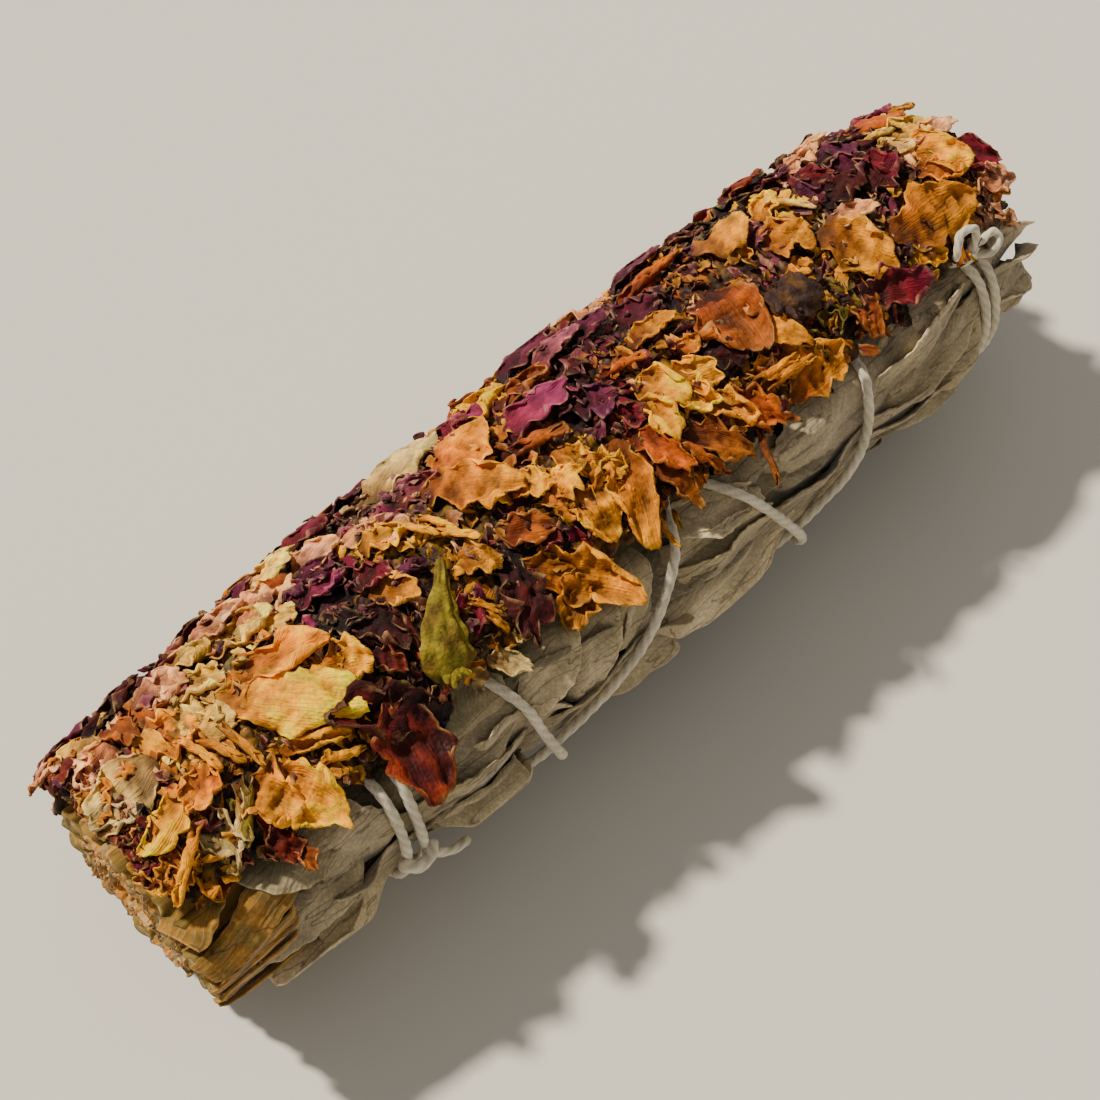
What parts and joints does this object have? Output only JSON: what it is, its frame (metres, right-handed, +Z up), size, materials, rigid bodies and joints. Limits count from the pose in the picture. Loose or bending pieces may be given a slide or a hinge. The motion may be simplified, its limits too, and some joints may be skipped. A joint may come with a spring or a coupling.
{
  "type": "white sage bundle with rose petals",
  "caption": "A dried bundle of white sage tied with cotton string and covered on its upper side with dried rose petals, lying on its side.",
  "frame": {"origin": "On the surface that the bundle lies on, under the middle of its box", "axes": "+X from the cut stems to the leaf tips, +Z up, -Y the side where the leaves show beside the petals"},
  "size_m": [0.1831, 0.0546, 0.0531],
  "materials": {
    "calyx_dark": "dry papery calyx, dark brown",
    "calyx_green": "dry papery calyx, yellow-green",
    "cotton": "twisted off-white cotton",
    "petal_amber": "dried crumpled petal, amber to brown-orange",
    "petal_crimson": "dried crumpled petal, deep crimson",
    "petal_gold": "dried crumpled petal, gold to yellow",
    "petal_purple": "dried crumpled petal, purple to magenta",
    "petal_terracotta": "dried crumpled petal, terracotta",
    "sage_leaf": "velvety dried leaf, grey-green to beige, matte",
    "stem_wood": "dry woody stem, tan to olive brown, matte"
  },
  "bodies": {
    "root": {"sage_stem_1": "stem_wood", "sage_stem_2": "stem_wood", "sage_stem_3": "stem_wood", "sage_stem_4": "stem_wood", "sage_stem_5": "stem_wood", "sage_stem_6": "stem_wood", "sage_stem_7": "stem_wood", "sage_stem_8": "stem_wood", "sage_stem_9": "stem_wood", "sage_stem_10": "stem_wood", "sage_stem_11": "stem_wood", "sage_stem_12": "stem_wood", "sage_stem_13": "stem_wood", "sage_stem_14": "stem_wood", "sage_stem_15": "stem_wood", "sage_stem_16": "stem_wood", "sage_stem_17": "stem_wood", "sage_stem_18": "stem_wood", "sage_leaves_1": "sage_leaf", "sage_leaves_2": "sage_leaf", "sage_leaves_3": "sage_leaf", "sage_leaves_4": "sage_leaf", "sage_leaves_5": "sage_leaf", "sage_leaves_6": "sage_leaf", "cotton_string": "cotton", "green_calyx": "calyx_green", "dark_calyx": "calyx_dark", "rose_petals_1": "petal_crimson", "rose_petals_2": "petal_crimson", "rose_petals_3": "petal_crimson", "rose_petals_4": "petal_purple", "rose_petals_5": "petal_terracotta", "rose_petals_6": "petal_gold", "rose_petals_7": "petal_terracotta", "rose_petals_8": "petal_amber", "rose_petals_9": "petal_amber", "rose_petals_10": "petal_crimson"}
  },
  "joints": []
}
